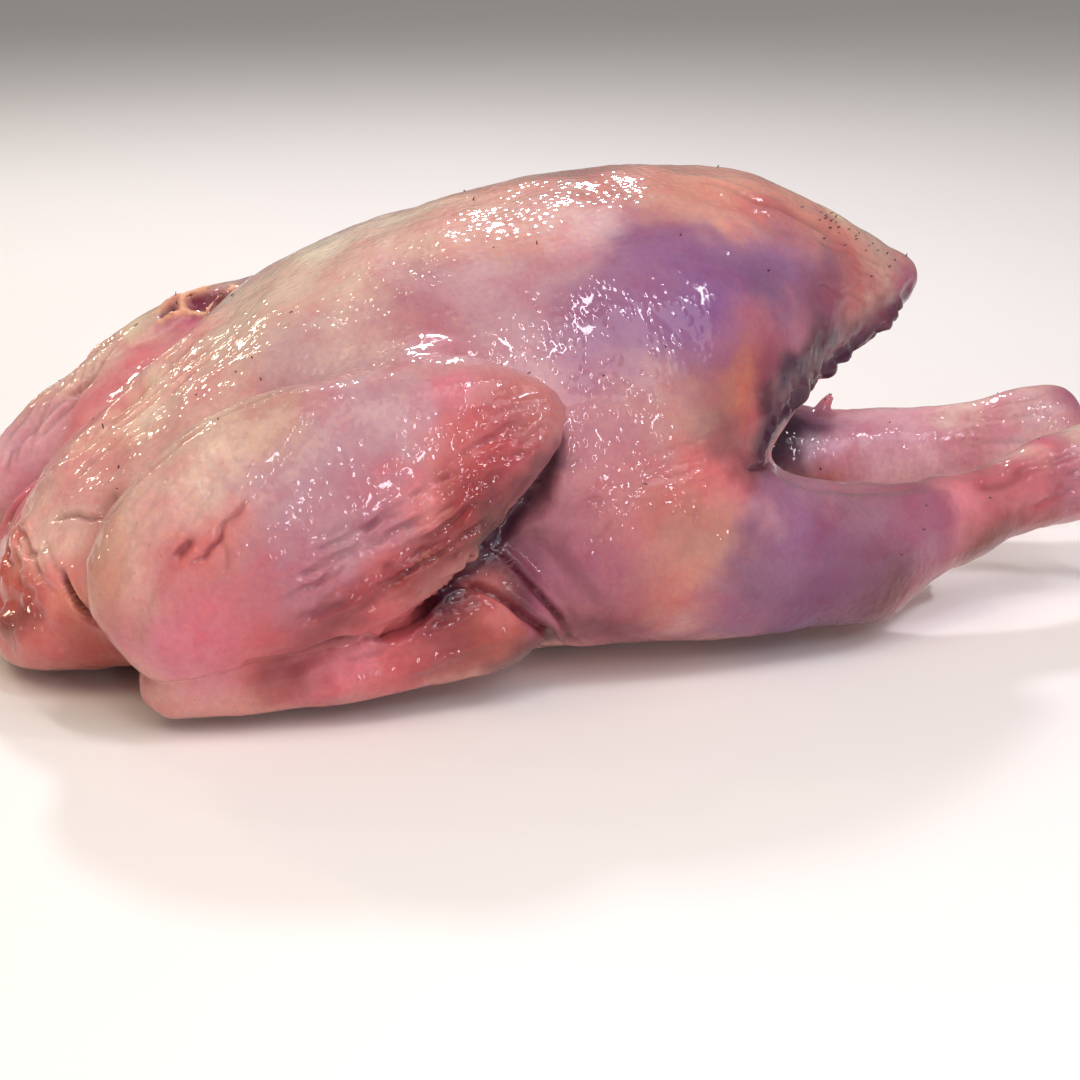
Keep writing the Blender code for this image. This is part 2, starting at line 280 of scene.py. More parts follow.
# Creases, slits and dents pressed into the skin, and ridges with a negative depth: points in mm, half width,
# depth, and how far the lips beside it swell. Those of the right wing are repeated on the left one.
pressed = {
    "wingTopCrease": ([(-182, -75, 60), (-174, -92, 80), (-166, -92, 91), (-156, -93, 101), (-148, -94, 108),
                       (-138, -94, 113), (-128, -94, 118), (-117, -95, 121), (-106, -95, 123)],
                      1.1, 1.2, 0.0),
    "wingSlit": ([(-133, -116, 90), (-137, -117, 85), (-142, -117, 81), (-143, -117, 77), (-147, -117, 74),
                  (-148, -117, 71), (-153, -116, 69)], 0.9, 1.7, 0.4),
    "slitBranch": ([(-143, -118, 76), (-141, -119, 71), (-142, -119, 66)], 0.9, 0.9, 0.2),
    "wristSlit": ([(-152, -115, 77), (-155, -115, 74), (-158, -114, 71)], 1.5, 2.0, 0.5),
    "wristFold": ([(-157, -114, 72), (-163, -112, 65), (-168, -111, 59), (-171, -110, 52), (-172, -110, 43),
                   (-170, -107, 34)], 3.2, 1.0, 0.5),
    "forearmLine": ([(-135, -117, 87), (-128, -117, 94), (-119, -115, 102), (-104, -109, 117)],
                    4.0, 1.6, 0.5),
    "handGap": ([(-36, -120, 90), (-43, -119, 80), (-51, -116, 69), (-58, -118, 62), (-64, -116, 54),
                 (-69, -108, 45), (-77, -112, 39), (-86, -113, 38), (-99, -118, 39), (-108, -118, 38),
                 (-117, -116, 35), (-126, -115, 33), (-134, -115, 30)], 1.8, 9.0, 0.8),
    "handCrack": ([(-58, -118, 62), (-69, -110, 46), (-86, -113, 38), (-108, -118, 38), (-126, -116, 33),
                   (-142, -114, 28), (-154, -110, 25)], 0.8, 1.6, 0.2),
    "elbowGap": ([(-22, -106, 108), (-23, -100, 92), (-26, -100, 84), (-30, -100, 78), (-36, -98, 71),
                  (-44, -99, 62)], 3.2, 7.0, 0.4),
    "elbowSocket": ([(-34, -99, 75), (-29, -101, 79), (-25, -103, 81)], 5.0, 5.0, 0.0),
    "foldLine": ([(-46, -100, 62), (-40, -101, 55), (-32, -102, 46), (-22, -98, 34), (-13, -92, 21),
                  (-9, -88, 15)], 1.2, 4.5, 0.7),
    "underFold": ([(-59, -106, 51), (-53, -108, 51), (-47, -109, 48), (-41, -109, 44), (-34, -109, 38),
                   (-26, -103, 29), (-17, -90, 17)], 1.6, 5.5, 0.4),
    "foldRim": ([(-44, -108, 47), (-36, -108, 42), (-28, -105, 34), (-20, -98, 26), (-12, -90, 18)],
                3.0, -2.2, 0.0),
    "flankFold": ([(-34, -100, 68), (-25, -102, 58), (-15, -104, 45), (-5, -103, 33), (1, -97, 23)],
                  3.6, 1.5, 0.3),
    "farGroove": ([(-210, 6, 40), (-206, 16, 50), (-197, 28, 60), (-182, 62, 64), (-167, 67, 83),
                   (-148, 73, 97), (-126, 82, 108)], 8.0, 3.0, 0.0),
    "farGrooveDeep": ([(-208, 20, 44), (-199, 34, 58), (-188, 48, 66), (-180, 56, 72)], 2.4, 3.6, 0.3),
    "fatRidge": ([(-200, 6, 62), (-190, -10, 70), (-180, -2, 80), (-170, 2, 88), (-158, 11, 98),
                  (-146, 8, 107), (-134, 8, 117), (-116, 20, 130)], 6.5, -2.8, 0.0),
    "tornPocket": ([(-126, 87, 112), (-119, 86, 113), (-111, 84, 116)], 3.6, 5.0, 0.0),
    "tornSlit": ([(-138, 88, 108), (-131, 88, 111)], 2.2, 2.5, 0.0),
    "neckCrease": ([(-192, -30, 61), (-185, -39, 65), (-180, -47, 66), (-174, -49, 70)], 1.2, 1.8, 0.2),
    "neckDimple": ([(-179, -50, 68), (-171, -51, 75)], 4.2, 5.0, 0.0),
    "neckSlit": ([(-191, -52, 48), (-188, -56, 42), (-186, -61, 39), (-184, -68, 36), (-180, -76, 31)],
                 1.3, 5.0, 0.5),
    "neckRoll": ([(-212, 18, 30), (-207, -20, 30), (-200, -42, 28), (-190, -62, 24)], 5.0, 2.5, 0.3),
    "neckFold": ([(-206, -12, 58), (-205, -24, 50), (-199, -34, 50), (-193, -40, 55)], 1.6, 0.9, 0.4),
    "keelValley": ([(55, -30, 171), (66, -37, 167), (77, -42, 162), (90, -40, 158), (104, -34, 152),
                    (116, -27, 146)], 5.5, 1.6, 0.4),
    "keelLine": ([(60, -22, 172), (76, -32, 167), (92, -32, 161), (108, -28, 153)], 1.8, 1.0, 0.5),
    "breastHollow": ([(96, -47, 148), (96, -55, 134), (91, -62, 117)], 8.0, 0.8, 0.0),
    "crotchCrease": ([(52, -94, 80), (59, -89, 79), (66, -80, 77)], 1.0, 1.8, 0.3),
    "crotchFold": ([(74, -82, 74), (90, -80, 70), (112, -72, 66), (134, -64, 62)], 3.0, 1.2, 0.3),
    "kneeCrease": ([(160, -66, 59), (172, -62, 57), (184, -56, 61)], 2.0, 1.4, 0.5),
    "farKneeCrease": ([(176, 44, 62), (190, 40, 61), (204, 40, 59)], 4.0, 1.2, 0.3),
}

# Families of fine wrinkles: both ends of the line that the first lies near, the offset to the last, how many,
# how much of the line each covers, half width and depth.
wrinkles = {
    "flank": ((-6, -106, 66), (56, -93, 76), (0, 0, 22), 16, 0.4, 0.9, 0.35),
    "elbowFlank": ((-20, -103, 56), (2, -104, 62), (0, 0, 34), 14, 0.6, 0.9, 0.4),
    "elbow": ((-62, -122, 92), (-26, -120, 104), (2, 0, 20), 14, 0.35, 0.9, 0.8),
    "underWing": ((-122, -124, 40), (-40, -120, 80), (-4, 0, 30), 44, 0.22, 1.0, 0.9),
    "hand": ((-120, -120, 26), (-50, -112, 34), (4, 0, 12), 12, 0.3, 1.1, 1.0),
    "breastFront": ((-188, -22, 72), (-116, -20, 130), (-6, 22, 4), 22, 0.3, 1.0, 0.9),
    "wingFront": ((-180, -100, 60), (-150, -100, 106), (10, -10, -12), 14, 0.25, 0.9, 0.35),
    "farWing": ((-206, 70, 44), (-140, 86, 106), (-6, 20, -4), 16, 0.35, 1.1, 1.1),
    "shank": ((176, -58, 60), (228, -44, 64), (0, -8, -22), 14, 0.4, 1.0, 0.8),
    "farShank": ((180, 36, 66), (250, 34, 66), (0, -6, -24), 12, 0.35, 1.0, 0.6),
    "keel": ((96, -30, 154), (146, -10, 130), (-4, -24, -16), 12, 0.35, 1.0, 0.8),
    "neck": ((-200, -60, 30), (-206, 10, 44), (6, 0, 20), 12, 0.35, 1.1, 0.9),
    "farFlank": ((-6, 104, 50), (56, 92, 60), (0, 0, 36), 14, 0.5, 0.9, 0.6),
    "farElbow": ((-66, 124, 84), (-28, 120, 98), (0, 0, 20), 12, 0.35, 0.9, 0.8),
    "farUnderWing": ((-118, 124, 40), (-44, 122, 76), (-8, 0, 24), 20, 0.35, 0.9, 0.8),
    "back": ((-120, -50, 4), (60, -46, 4), (0, 90, 0), 18, 0.3, 1.2, 0.6),
}

# Folds that run one way: direction, spacing and height in mm, and the middle and reach of where they are.
foldedSkin = {
    "forearmUnderside": ((0.88, 0, 0.48), 5.5, 2.2, (-72, -120, 62), (72, 26, 36)),
    "elbow": ((0.95, 0, 0.3), 7, 1.2, (-34, -118, 108), (34, 26, 30)),
    "breastFront": ((0.76, 0.05, 0.64), 7, 2.0, (-160, -8, 92), (58, 34, 50)),
    "wingFront": ((0.7, 0, 0.7), 6, 0.7, (-166, -104, 82), (34, 26, 36)),
    "wingTip": ((0.92, 0, 0.28), 9, 2.0, (-90, -112, 28), (80, 24, 22)),
    "neckFlap": ((0.35, 0.9, -0.2), 12, 2.0, (-206, -20, 34), (26, 70, 34)),
    "farWing": ((0.78, 0, 0.62), 8, 1.4, (-175, 96, 74), (70, 34, 50)),
    "shank": ((0.97, 0.1, 0.2), 9, 1.0, (196, -46, 52), (46, 30, 28)),
    "tail": ((0.9, 0, -0.4), 9, 1.6, (150, -5, 14), (30, 30, 20)),
    "back": ((0.2, 0.97, 0), 16, 1.2, (-40, 0, 0), (150, 90, 14)),
}
unevenSkin = {    # noise, its size and height in mm
    "lumps": (26, 0.9), "ripples": (9, 0.25), "billows": (14, 3.4), "tatters": (4, 0.4), "meat": (8, 1.7),
    "hollow": ((60, 0, 74), (100, 64, 44)),       # middle and reach of the bare meat
    "tornSkin": ((-124, 84, 114), (26, 16, 14)),    # and of the torn skin on top of the left wing
}
frayedEdges = [    # edges that billow, on both sides: line, half width, and how much
    (strips["ventRim"][0], 5, 1), (strips["keelRag"][0], 6, 1),
    ([(-22, -104, 98), (-30, -106, 86), (-40, -108, 76), (-52, -114, 66), (-62, -116, 57)], 4, 0.7),
]
creasing = {
    "leftShift": (0, 0, -3), "leftDepth": 0.8,    # the left wing lies lower, and its creases are shallower
    # how far the wrinkles of a family differ: as parts of its share, width and depth, and in mm
    "share": (0.6, 1.3), "width": (0.7, 1.4), "depth": (0.5, 1.2), "shift": 0.6, "waver": 0.7, "lips": 0.3,
    "creaseShadeWidth": 3, "creaseShadeDepth": 3,    # mm: creases narrower than this get painted shade, dark red, most at this depth
}


def distanceTo(points, path):    # of each point to a smooth line, with how far along the line it lies
    path = np.array(path, float)
    spot = np.concatenate([[0], np.cumsum(np.linalg.norm(np.diff(path, axis=0), axis=1))])
    if len(path) > 2:
        line = eased(np.column_stack([spot, path]), np.linspace(0, spot[-1], round(spot[-1]) + 2))[:, 1:]
    else:
        line = path[0] + (path[1] - path[0]) * np.linspace(0, 1, round(spot[-1]) + 2)[:, None]
    apart = np.linalg.norm(points[:, None] - line[None], axis=2)
    return apart.min(axis=1), apart.argmin(axis=1) / (len(line) - 1)


def nearLine(points, path, width, lips=0):    # 1 on the line, 0 some widths off it, less towards its ends
    path = np.array(path, float)
    reach = 3.4 * width
    close = np.where(((points > path.min(0) - reach) & (points < path.max(0) + reach)).all(axis=1))[0]
    amount = np.zeros(len(points))
    if len(close):
        apart, along = distanceTo(points[close], path)
        apart = apart / width
        lip = np.exp(-((apart - 2.1) / 0.8) ** 2)    # about two widths off the line
        profile = np.exp(-apart ** 2) - lips * lip
        amount[close] = profile * np.clip(np.minimum(along, 1 - along) * 6 + 0.25, 0, 1)
    return amount


def laidOn(tree, path):    # the line's points moved to the nearest points of the skin, each taken once
    laid = [tuple(tree.find(point)[0]) for point in path]
    return [point for k, point in enumerate(laid) if point not in laid[:k]]


def inEllipsoid(points, middle, reach):    # 1 at the middle, falling smoothly to 0 at its reach
    away = np.linalg.norm((points - middle) / reach, axis=1)
    t = np.clip(1.45 * (1 - away), 0, 1)
    return t * t * (3 - 2 * t)


def lumpy(points, size, seed=0):    # smooth noise of about -1 to 1, with lumps of that size in mm
    shifted = points / size + (seed * 17.3, seed * 5.1, seed * 9.7)
    return np.array([noise.noise(Vector(p)) for p in shifted]) * 2


def folded(points, along, spacing, seed):    # rounded ridges along one direction, unevenly spaced
    longer, sharpness = 5, 0.8    # how much longer than wide they are, and how narrow the valleys
    along = np.array(along, float) / np.linalg.norm(along)
    lengthwise = (points @ along)[:, None] * along
    squeezed = points - lengthwise + lengthwise / longer
    return 1 - 2 * np.abs(lumpy(squeezed, spacing, seed)) ** sharpness


def foldAndCrease(obj):
    mesh = obj.data
    points = pointsOf(mesh)
    count = len(points)
    normals = np.empty(count * 3)

    def normalsNow():
        mesh.vertices.foreach_set("co", (points * mm).ravel())
        mesh.update()
        mesh.vertices.foreach_get("normal", normals)
        return normals.reshape(-1, 3)

    def unevenness(name, seed):
        size, height = unevenSkin[name]
        return lumpy(points, size, seed) * height

    for seed, (along, spacing, height, middle, reach) in enumerate(foldedSkin.values()):
        amount = inEllipsoid(points, middle, reach)
        near = amount > 0
        rise = folded(points[near], along, spacing, seed) * amount[near] * height * 0.5
        points[near] += normalsNow()[near] * rise[:, None]
    frayed = np.zeros(count)
    for side in (1, -1):
        for path, width, share in frayedEdges:
            frayed = np.maximum(frayed, nearLine(points, onSide(path, side), width) * share)
    size, height = unevenSkin["billows"]    # large ones with small ones on them, and sharp valleys between
    billow = np.abs(lumpy(points, size, 23) + 0.35 * lumpy(points, size / 2.5, 25)) - 0.35
    rise = unevenness("lumps", 21) + unevenness("ripples", 22) + billow * frayed * height
    rise += unevenness("tatters", 24) * inEllipsoid(points, *unevenSkin["tornSkin"])
    rise += unevenness("meat", 26) * inEllipsoid(points, *unevenSkin["hollow"])
    points += normalsNow() * rise[:, None]

    tree = treeOf(points)
    creases = []
    for side, shift, share in ((1, (0, 0, 0), 1), (-1, creasing["leftShift"], creasing["leftDepth"])):
        for path, width, depth, lips in pressed.values():
            if side == 1 or path[0][1] < -90:    # the left side has the same folds about the wing
                laid = laidOn(tree, onSide(path, side, shift))
                creases.append((laid, width, depth * share, lips / abs(depth)))
    draw = np.random.default_rng(4)
    for start, end, offset, howMany, share, width, depth in wrinkles.values():
        start, end = np.array(start, float), np.array(end, float)
        for k in range(howMany):
            covered = share * draw.uniform(*creasing["share"])
            first = draw.uniform(0, max(0.05, 1 - covered))
            aside = np.array(offset) * draw.uniform(0, 1) + draw.normal(0, creasing["shift"], 3)
            places = np.linspace(first, first + covered, 5)[:, None]
            path = start + (end - start) * places + aside + draw.normal(0, creasing["waver"], (5, 3))
            creases.append((laidOn(tree, path), width * draw.uniform(*creasing["width"]),
                            depth * draw.uniform(*creasing["depth"]), creasing["lips"]))
    sunk, creaseShading = np.zeros(count), np.zeros(count)
    for path, width, depth, lips in creases:
        amount = nearLine(points, path, width, lips)
        sunk += amount * depth
        # painted shade: narrow creases are marked to be painted darker, the deeper the darker
        if width < creasing["creaseShadeWidth"]:
            creaseShading = np.maximum(creaseShading, amount * min(depth / creasing["creaseShadeDepth"], 1))
    points -= normalsNow() * sunk[:, None]
    creaseShade = mesh.attributes.new("creaseShade", "FLOAT", "POINT")
    creaseShade.data.foreach_set("value", np.clip(creaseShading, 0, 1))
    points[:, 2] = np.maximum(points[:, 2], 0)
    normalsNow()
    print("folds and creases", len(foldedSkin) + len(creases))


# The bird's colours, sRGB hex, from pale to dark
colours = {
    "skin": "#cb9488", "cream": "#f0f1d5", "fat": "#f3ebaf", "blush": "#f3d2e2", "oat": "#d7d5ae",
    "shell": "#f3c9ba", "apricot": "#f3b58c", "oyster": "#d2b4a3", "lilac": "#ceadae",
    "salmon": "#f3a174", "petal": "#d7a2ae", "rosy": "#d2a29a", "rawPink": "#ea939d",
    "greyRose": "#b99485", "wingRose": "#da817f", "tan": "#c58a78", "pinkGrey": "#b08a93",
    "ham": "#cc7d8c", "legRose": "#d964a3", "flank": "#b67371",
    "cherry": "#d15b79", "mallow": "#a9707e", "heather": "#ac6586", "elbow": "#bd575d",
    "chestnut": "#94695b", "mauve": "#8f667b", "brick": "#bd4837", "shank": "#a0595b",
    "rust": "#a65045", "bruise": "#84587d", "wine": "#93516a",
    "berry": "#ad2c57", "slate": "#734a60", "blueBruise": "#5c496d", "claret": "#7f3150",
    "russet": "#7f2d31", "mulberry": "#693564", "ink": "#57347d", "deepRed": "#822023",
    "umber": "#5e342b", "meat": "#5a232f", "liver": "#422929", "aubergine": "#411c30",
    "dark": "#291825", "damson": "#1d1634",
}
# Dabs of colour on both sides of the bird: x, y and z of the middle, and how far it spreads, in mm. Dabs that
# meet blend into each other, and plain skin takes the rest.
# The dabs also hold painted shade: the darkest, such as dark, liver, aubergine and damson, stand where shade
# falls, in the gaps under the wings, round the rim, in the hollow and low by the floor.
bothSides = {
    "oyster": [(-99, -28, 138, 26), (-59, -18, 157, 26), (-86, -60, 133, 14), (-176, -104, 72, 13),
        (-146, -104, 101, 15)],
    "lilac": [(3, -46, 164, 12), (-6, -28, 168, 10)],
    "salmon": [(50, -88, 108, 9)],
    "rosy": [(-134, -46, 112, 18), (-165, -106, 84, 14), (-163, -55, 88, 9), (22, -101, 25, 8)],
    "rawPink": [(152, -66, 56, 10), (-102, -106, 27, 10)],
    "greyRose": [(130, -12, 144, 16), (24, -98, 104, 17), (-126, -102, 115, 14), (10, -14, 173, 10),
        (34, -44, 167, 10)],
    "wingRose": [(38, -101, 79, 14), (53, -90, 98, 8), (-76, -124, 88, 8), (-46, -108, 46, 6),
        (-92, -99, 25, 9)],
    "tan": [(-18, -10, 168, 26), (55, -24, 171, 20), (100, -14, 158, 20), (20, -106, 42, 19),
        (-180, -98, 62, 13)],
    "pinkGrey": [(-104, -57, 126, 22), (-28, -72, 140, 24), (-116, -119, 89, 19), (-98, -117, 105, 17),
        (-78, -114, 114, 15), (-4, -65, 153, 10), (60, -100, 64, 8)],
    "ham": [(-152, -116, 44, 16)],
    "flank": [(54, -79, 129, 13), (6, -106, 76, 18), (-170, -110, 48, 9), (-146, -117, 66, 12),
        (-38, -112, 121, 12), (-30, -118, 111, 8), (-60, -122, 102, 8), (-174, -84, 25, 10)],
    "mallow": [(-67, -60, 141, 22), (82, -66, 126, 9), (-2, -100, 96, 20), (-120, -122, 66, 15),
        (-94, -122, 84, 13), (93, -70, 62, 9)],
    "heather": [(143, -18, 132, 8)],
    "elbow": [(-132, -118, 42, 14), (-56, -122, 104, 14), (-92, -126, 68, 9), (-82, -114, 32, 13),
        (-40, -120, 107, 8)],
    "chestnut": [(30, -106, 66, 14)],
    "mauve": [(116, -84, 52, 17)],
    "shank": [(110, -34, 142, 12), (158, -68, 50, 16)],
    "rust": [(18, -18, 173, 20), (-45, -110, 36, 12)],
    "bruise": [(8, -76, 146, 12), (-8, -84, 134, 12), (25, -63, 156, 15), (42, -66, 151, 16),
        (72, -56, 150, 14), (30, -84, 131, 16), (12, -86, 132, 14), (72, -99, 57, 17),
        (46, -103, 26, 14)],
    "wine": [(-10, -107, 55, 17), (136, -74, 54, 17), (-30, -100, 59, 7), (-32, -105, 42, 7)],
    "slate": [(98, -47, 142, 11), (96, -53, 130, 12), (55, -104, 50, 13), (93, -98, 43, 20)],
    "blueBruise": [(65, -69, 141, 16)],
    "claret": [(142, -14, 126, 12), (57, -83, 115, 13), (10, -100, 26, 16)],
    "russet": [(132, -70, 26, 12), (-36, -120, 108, 13), (-70, -127, 76, 12), (-84, -127, 62, 10),
        (-102, -126, 50, 10), (-108, -120, 30, 14), (-63, -113, 34, 13), (-26, -102, 31, 8)],
    "mulberry": [(80, -92, 24, 16)],
    "ink": [(44, -78, 138, 14)],
    "deepRed": [(-56, -125, 90, 11)],
    "umber": [(165, -68, 35, 9)],
    "meat": [(128, -32, 118, 10), (108, -86, 26, 13), (-30, -104, 60, 10), (-28, -106, 100, 7),
        (115, -41, 119, 7), (-29, -115, 94, 7), (-41, -121, 88, 8), (-3, -98, 26, 8)],
    "liver": [(-50, -118, 76, 7)],
    "aubergine": [(51, -89, 105, 15), (48, -93, 91, 14), (112, -40, 110, 7)],
    "dark": [(90, -63, 114, 11), (-31, -100, 25, 10), (-40, -102, 50, 9), (-24, -104, 90, 8),
        (64, -83, 90, 6), (67, -80, 100, 6), (98, -55, 112, 8)],
    "damson": [(79, -72, 108, 7)],
}

oneSide = {    # dabs that stay on their own side: neck, legs and the left wing differ
    "cream": [(-156, -7, 98, 15), (-172, -8, 86, 9), (-82, 11, 149, 12), (204, 45, 54, 8),
        (-56, 14, 157, 14)],
    "fat": [(120, -8, 154, 8)],
    "blush": [(139, 46, 44, 8)],
    "oat": [(-138, 92, 103, 10)],
    "shell": [(-198, -30, 56, 12), (183, -51, 63, 8)],
    "apricot": [(-191, -58, 40, 8)],
    "oyster": [(-126, -14, 121, 17), (214, -40, 70, 10), (-160, 84, 88, 11)],
    "lilac": [(224, 34, 58, 14)],
    "petal": [(158, 50, 50, 15), (178, 46, 50, 18), (-184, 82, 66, 11), (-196, 86, 54, 14)],
    "rosy": [(-181, -19, 76, 14), (-142, -10, 110, 14), (-186, -34, 66, 9), (237, 38, 64, 9)],
    "rawPink": [(177, -62, 53, 10)],
    "wingRose": [(-168, -7, 88, 15), (-194, -54, 40, 16), (-178, 62, 70, 13), (-203, 2, 53, 9)],
    "tan": [(184, -24, 53, 8)],
    "pinkGrey": [(121, 28, 45, 8)],
    "ham": [(204, 40, 52, 17), (-60, -112, 125, 7), (-162, 68, 84, 12), (-146, 72, 98, 11)],
    "legRose": [(-134, 84, 110, 8), (-128, 80, 116, 7)],
    "cherry": [(-150, 26, 96, 18), (-196, 44, 56, 12), (189, -42, 61, 9)],
    "mallow": [(200, -54, 58, 16), (-206, 48, 44, 7)],
    "elbow": [(-168, 2, 92, 12), (76, -34, 166, 5), (222, -48, 52, 10), (126, 66, 72, 6),
        (-210, 10, 34, 16)],
    "brick": [(-208, -30, 38, 15)],
    "shank": [(84, -33, 164, 9)],
    "rust": [(-186, -66, 26, 14)],
    "wine": [(245, 34, 60, 12), (-132, 88, 110, 8), (150, -2, 124, 8)],
    "berry": [(-122, 84, 117, 9), (-112, 76, 121, 8)],
    "slate": [(125, 46, 44, 8)],
    "russet": [(180, -60, 52, 18)],
    "mulberry": [(141, 52, 58, 9)],
    "umber": [(-209, -45, 28, 7)],
    "meat": [(146, 0, 114, 12)],
    "aubergine": [(139, 56, 52, 9)],
    # painted shade in the hollow by the left leg's root
    "dark": [(110, 46, 60, 17), (123, 48, 56, 10), (114, 14, 70, 12)],
}
stainsAndShade = {
    "unevenEdge": 6, "edgeSize": 26,    # mm: how far noise pushes a dab's edge about, and over what length
    "plainSkin": 0.06,                  # how much plain skin counts between the dabs
    # the hollow's walls: bare meat, painted darker than meat as painted shade
    "hollow": "#4a1f30", "hollowReach": (-60, 118), "hollowWall": 2.5, "hollowShadeShare": 0.9,
    # the darkest of these, under the rim's lip and in the folds and gaps, are painted shade
    "rimBruise": "#764c5c", "rimEdge": "#4a2138", "underRim": "#32142a",
    "slitLip": "#d17c72", "slit": "#a54e55", "fold": "#38182a",
    "rawGroove": "#d9868a", "deepGroove": "#8f4a52",
    "tornMeat": "#7a2c44", "tornSinew": "#80606e", "tornRim": "#eec39c",
    # painted shade: lines that are always in shade, painted dark
    "underWing": [(-25, -97, 96), (-29, -96, 84), (-33, -94, 75), (-40, -95, 67), (-50, -104, 60),
                  (-58, -107, 54), (-66, -108, 46), (-72, -104, 41)],
    "legRoot": [(104, 43, 38), (112, 45, 43), (120, 48, 49), (127, 52, 54), (133, 58, 57)],
}


def washes():    # rows of: colour, line, half width, strength, most of it, half width of the bare skin there
    rim, rag = strips["ventRim"][0], strips["keelRag"][0]
    rows = []
    for side in (1, -1):
        rows += [("rimBruise", onSide(rim[:5], side), 11, 0.5, 1, 0),
                 ("rimEdge", onSide(rim, side), 6, 1.3, 0.92, 10),
                 ("rimEdge", onSide(rag, side, (2, 0, 0)), 5, 1.2, 0.85, 8),
                 # painted shade under the rim's lip
                 ("underRim", onSide(rim, side, (-1, -3, -4)), 7, 0.85, 1, 0)]
    for name in ("wingSlit", "wristSlit"):
        line = pressed[name][0]
        rows += [("slitLip", line, 6, 0.6, 1, 0), ("slit", line, 1.6, 0.9, 1, 1.6)]
    # painted shade in these folds, slits, dimples and gaps
    for name in ("foldLine", "underFold", "neckSlit", "crotchCrease", "neckDimple", "handGap", "elbowGap"):
        line, width = pressed[name][:2]
        width = max(1.6, width)
        rows.append(("fold", line, width, 0.85, 1, width))
    rows += [("fold", onSide(stainsAndShade["underWing"], side), 6, 1.3, 0.9, 0) for side in (1, -1)]
    rows.append(("underRim", stainsAndShade["legRoot"], 10, 0.85, 1, 0))
    for colour, name in (("rawGroove", "farGroove"), ("deepGroove", "farGrooveDeep")):
        line, width = pressed[name][:2]
        rows.append((colour, line, width, 0.7, 1, width))
    rows.append(("tornMeat", pressed["tornPocket"][0], 6, 1.4, 0.92, 0))
    rows.append(("tornSinew", pressed["tornSlit"][0], 4, 0.8, 1, 0))
    for name in ("tornEdge", "tornLoop", "tornLip", "tornThread"):
        rows.append(("tornRim", strips[name][0], 1.9, 1.2, 0.85, 0))
    return rows


def hexColour(code):    # sRGB hex to linear
    parts = [int(code[i:i + 2], 16) / 255 for i in (1, 3, 5)]
    return [c / 12.92 if c <= 0.04045 else ((c + 0.055) / 1.055) ** 2.4 for c in parts]


def inHollow(points):    # 1 on the walls of the hollow, 0 elsewhere
    rows, wall = torso["cavity"], stainsAndShade["hollowWall"]
    first, last = stainsAndShade["hollowReach"]
    x, y, z = points.T
    walls = eased(rows, np.clip(x, rows[0][0], rows[-1][0]))
    height = np.where(z > walls[:, 2], walls[:, 4], walls[:, 5])
    away = np.hypot((y - walls[:, 1]) / (walls[:, 3] + wall), (z - walls[:, 2]) / (height + wall))
    return ((away < 1.05) & (x > first) & (x < last)).astype(float)


def paintSkin(obj):
    mesh = obj.data
    points = pointsOf(mesh)
    count = len(points)
    size = stainsAndShade["edgeSize"]
    shifts = np.column_stack([lumpy(points, size, seed) + 0.35 * lumpy(points, size / 4, seed + 40)
                              for seed in (31, 32, 33)])
    moved = points + shifts * stainsAndShade["unevenEdge"]
    dabs = [(colour, (x, side * y, z), spread) for groups, sides in ((bothSides, (1, -1)), (oneSide, (1,)))
            for colour, places in groups.items() for x, y, z, spread in places for side in sides]
    total = np.full(count, stainsAndShade["plainSkin"])
    blend = np.tile(hexColour(colours["skin"]), (count, 1)) * total[:, None]
    for colour, middle, spread in dabs:
        weight = np.exp(-((moved - middle) ** 2).sum(axis=1) / spread ** 2)
        total += weight
        blend += weight[:, None] * np.array(hexColour(colours[colour]))
    tint = blend / total[:, None]

    def wash(colour, amount):
        tint[:] += (np.array(hexColour(stainsAndShade[colour])) - tint) * amount[:, None]

    bare = inHollow(points)    # no feathered skin here, nor in slits and on torn edges
    # bare meat on the hollow's walls, with painted shade
    wash("hollow", bare * stainsAndShade["hollowShadeShare"])
    for colour, line, width, strength, most, bareWidth in washes():
        wash(colour, np.minimum(nearLine(points, line, width) * strength, most))
        if bareWidth:
            bare = np.maximum(bare, nearLine(points, line, bareWidth))
    layer = mesh.color_attributes.new("skinTint", "FLOAT_COLOR", "POINT")
    layer.data.foreach_set("color", np.column_stack([tint, np.ones(count)]).ravel())
    follicles = mesh.attributes.new("follicles", "FLOAT", "POINT")
    follicles.data.foreach_set("value", 1 - np.clip(bare, 0, 1))
    print("dabs of colour", len(dabs))


def addNode(tree, kind, inputs=(), **settings):    # one node with its settings, its inputs set or linked
    made = tree.nodes.new("ShaderNode" + kind)
    for name, value in settings.items():
        setattr(made, name, value)
    for name, value in dict(inputs).items():
        if isinstance(value, bpy.types.NodeSocket):
            tree.links.new(value, made.inputs[name])
        else:
            made.inputs[name].default_value = value
    return made


def newMaterial(name):    # with its node tree and its shader
    material = bpy.data.materials.new(name)
    material.use_nodes = True
    return material, material.node_tree, material.node_tree.nodes["Principled BSDF"]


def noiseOf(tree, place, size, detail, roughness=0.5, distortion=0.0):    # its patches are of that size in mm
    return addNode(tree, "TexNoise", {"Vector": place, "Scale": 1000 / size, "Detail": detail,
                                      "Roughness": roughness, "Distortion": distortion}).outputs["Fac"]


def ramp(tree, value, start, end, low=0.0, high=1.0, **settings):    # low at the start and high at the end
    return addNode(tree, "MapRange", {"Value": value, "From Min": start, "From Max": end,
                                      "To Min": low, "To Max": high}, **settings).outputs["Result"]


def reckon(tree, operation, *values):    # a sum or product of sockets and numbers
    return addNode(tree, "Math", dict(enumerate(values)), operation=operation).outputs[0]


def mixed(tree, amount, under, upper, blend="MIX"):    # of sockets, hex colours or factors
    ends = [(*hexColour(end), 1) if isinstance(end, str) else (*end, 1) if isinstance(end, tuple) else end
            for end in (under, upper)]
    return addNode(tree, "Mix", {0: amount, 6: ends[0], 7: ends[1]},
                   data_type="RGBA", blend_type=blend).outputs[2]


